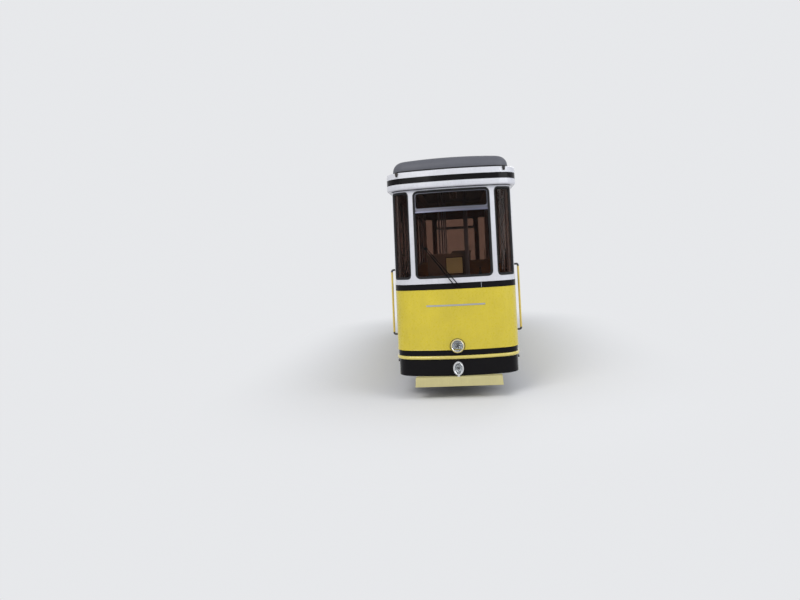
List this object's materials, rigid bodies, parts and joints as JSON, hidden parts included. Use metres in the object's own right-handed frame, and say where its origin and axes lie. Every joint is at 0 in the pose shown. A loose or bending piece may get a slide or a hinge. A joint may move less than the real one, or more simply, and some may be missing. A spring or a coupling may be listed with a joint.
{
  "type": "funicular car",
  "caption": "Metre-gauge funicular car: leaning box body with a banded roof, wrap-round end windows, sliding doors, stepped floor and two four-wheel bogies.",
  "frame": {"origin": "centre of the car's overall box, at the underside of the wheel flanges", "axes": "+Y along the track, uphill; +X to the right of someone who looks uphill; +Z square to the track"},
  "size_m": [2.286, 10.6453, 4.116],
  "materials": {
    "yellow_paint": "gloss",
    "white_paint": "gloss",
    "black_gloss": "gloss",
    "roof_grey": "satin",
    "cream_paint": "satin",
    "dark_steel": "satin",
    "wheel_steel": "machined tread",
    "bright_metal": "satin",
    "chrome": "polished",
    "window_glass": "clear",
    "lens_glass": "clear",
    "black_rubber": "matt",
    "rail_yellow": "gloss",
    "bench_wood": "varnished",
    "floor_cover": "ribbed",
    "desk_grey": "satin",
    "cast_steel": "as cast",
    "spring_steel": "rolled"
  },
  "bodies": {
    "car_body": {"underframe": "dark_steel", "stepped_floor": "floor_cover", "left_lower_wall": "yellow_paint", "right_lower_wall": "yellow_paint", "left_window_wall": "white_paint", "right_window_wall": "white_paint", "front_lower_panel": "yellow_paint", "rear_lower_panel": "yellow_paint", "front_window_frame": "white_paint", "rear_window_frame": "white_paint", "belt_stripe": "black_gloss", "sill_band": "black_gloss", "sill_moulding": "rail_yellow", "end_aprons": "black_gloss", "bumper_beams": "cream_paint", "lamp_rims": "chrome", "lamp_lenses": "lens_glass", "end_glass": "window_glass", "vent_frames": "bright_metal", "side_glass": "window_glass", "wipers": "black_rubber", "grab_rails": "rail_yellow", "roof": "roof_grey", "roof_band": "white_paint", "band_stripe": "black_gloss", "roof_hooks": "dark_steel", "bench_seats": "bench_wood", "bench_frames": "dark_steel", "stanchions": "bright_metal", "driver_desks": "desk_grey", "door_tracks": "bright_metal", "door_steps": "dark_steel", "equipment_boxes": "dark_steel", "rope_socket": "cast_steel", "bogie_pivots": "cast_steel"},
    "front_left_door_leaf": {"front_left_door": "yellow_paint", "front_left_door_glass": "window_glass"},
    "front_right_door_leaf": {"front_right_door": "yellow_paint", "front_right_door_glass": "window_glass"},
    "front_bogie": {"front_bogie_frame": "dark_steel", "front_rail_brake": "cast_steel", "front_axleboxes": "cast_steel", "front_leaf_springs": "spring_steel"},
    "rear_left_door_leaf": {"rear_left_door": "yellow_paint", "rear_left_door_glass": "window_glass"},
    "rear_right_door_leaf": {"rear_right_door": "yellow_paint", "rear_right_door_glass": "window_glass"},
    "rear_bogie": {"rear_bogie_frame": "dark_steel", "rear_rail_brake": "cast_steel", "rear_axleboxes": "cast_steel", "rear_leaf_springs": "spring_steel"},
    "front_lower_axle": {"front_lower_wheelset": "wheel_steel"},
    "front_upper_axle": {"front_upper_wheelset": "wheel_steel"},
    "rear_lower_axle": {"rear_lower_wheelset": "wheel_steel"},
    "rear_upper_axle": {"rear_upper_wheelset": "wheel_steel"}
  },
  "joints": [
    {"name": "front_bogie_swivel", "type": "hinge", "parent": "car_body", "child": "front_bogie", "pos_m": [0, -3.10265, 0.6], "axis": [0, 0, 1], "range_deg": [-4, 4]},
    {"name": "rear_bogie_swivel", "type": "hinge", "parent": "car_body", "child": "rear_bogie", "pos_m": [0, 2.69735, 0.6], "axis": [0, 0, 1], "range_deg": [-4, 4]},
    {"name": "front_lower_axle_spin", "type": "hinge", "parent": "front_bogie", "child": "front_lower_axle", "pos_m": [0, -3.85265, 0.35], "axis": [1, 0, 0], "continuous": true},
    {"name": "front_upper_axle_spin", "type": "hinge", "parent": "front_bogie", "child": "front_upper_axle", "pos_m": [0, -2.35265, 0.35], "axis": [1, 0, 0], "continuous": true},
    {"name": "rear_lower_axle_spin", "type": "hinge", "parent": "rear_bogie", "child": "rear_lower_axle", "pos_m": [0, 1.94735, 0.35], "axis": [1, 0, 0], "continuous": true},
    {"name": "rear_upper_axle_spin", "type": "hinge", "parent": "rear_bogie", "child": "rear_upper_axle", "pos_m": [0, 3.44735, 0.35], "axis": [1, 0, 0], "continuous": true},
    {"name": "front_left_door_slide", "type": "slide", "parent": "car_body", "child": "front_left_door_leaf", "axis": [0, 1, 0], "range_m": [0, 0.82]},
    {"name": "front_right_door_slide", "type": "slide", "parent": "car_body", "child": "front_right_door_leaf", "axis": [0, 1, 0], "range_m": [0, 0.82]},
    {"name": "rear_left_door_slide", "type": "slide", "parent": "car_body", "child": "rear_left_door_leaf", "axis": [0, -1, 0], "range_m": [0, 0.82]},
    {"name": "rear_right_door_slide", "type": "slide", "parent": "car_body", "child": "rear_right_door_leaf", "axis": [0, -1, 0], "range_m": [0, 0.82]}
  ]
}
